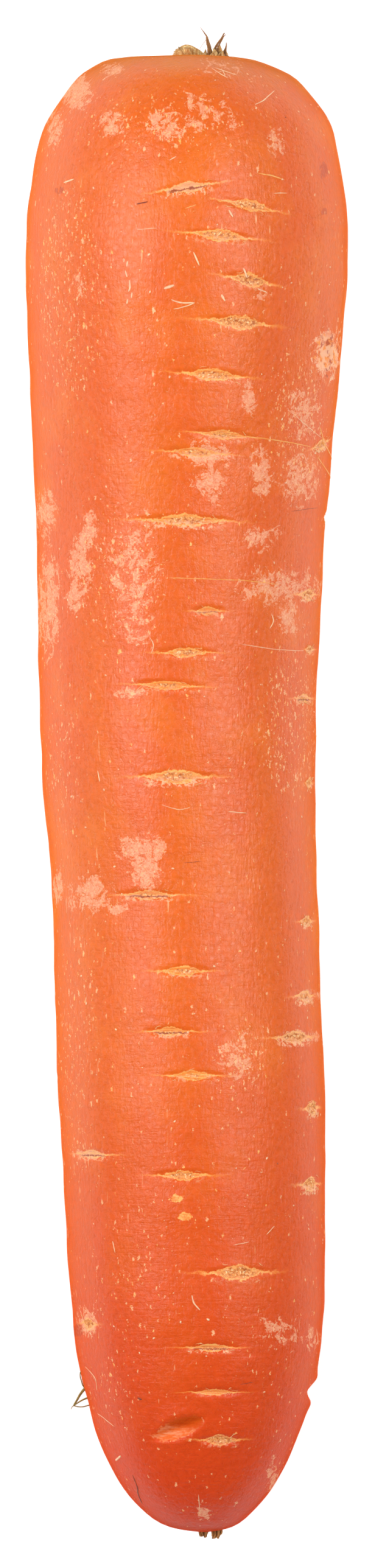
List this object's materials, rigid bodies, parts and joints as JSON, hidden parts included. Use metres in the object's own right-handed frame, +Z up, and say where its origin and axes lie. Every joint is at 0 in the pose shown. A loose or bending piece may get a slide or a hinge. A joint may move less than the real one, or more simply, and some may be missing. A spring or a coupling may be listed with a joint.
{
  "type": "carrot",
  "caption": "Large blunt-tipped carrot root lying on its side, with lens-shaped root scars, a tuft of dried leaf bases on the crown and a short woody stub at the tip.",
  "frame": {"origin": "on the flat spot that the carrot rests on, on its underside near the middle of its length", "axes": "+Z up, square to the surface it lies on; +Y along the root towards the crown; -Y towards the tip"},
  "size_m": [0.0441, 0.2076, 0.0431],
  "materials": {
    "root_skin": "moist satin skin, orange, with paler scratches and corky scars",
    "dried_leaf": "dry and fibrous, ochre to dark brown",
    "dried_root_end": "dry, broken, tan-brown",
    "dried_rootlet": "dry and wiry, olive-ochre"
  },
  "bodies": {
    "root": {"carrot_root": "root_skin", "leaf_base_tuft": "dried_leaf", "taproot_stub": "dried_root_end", "side_rootlet": "dried_rootlet"}
  },
  "joints": []
}
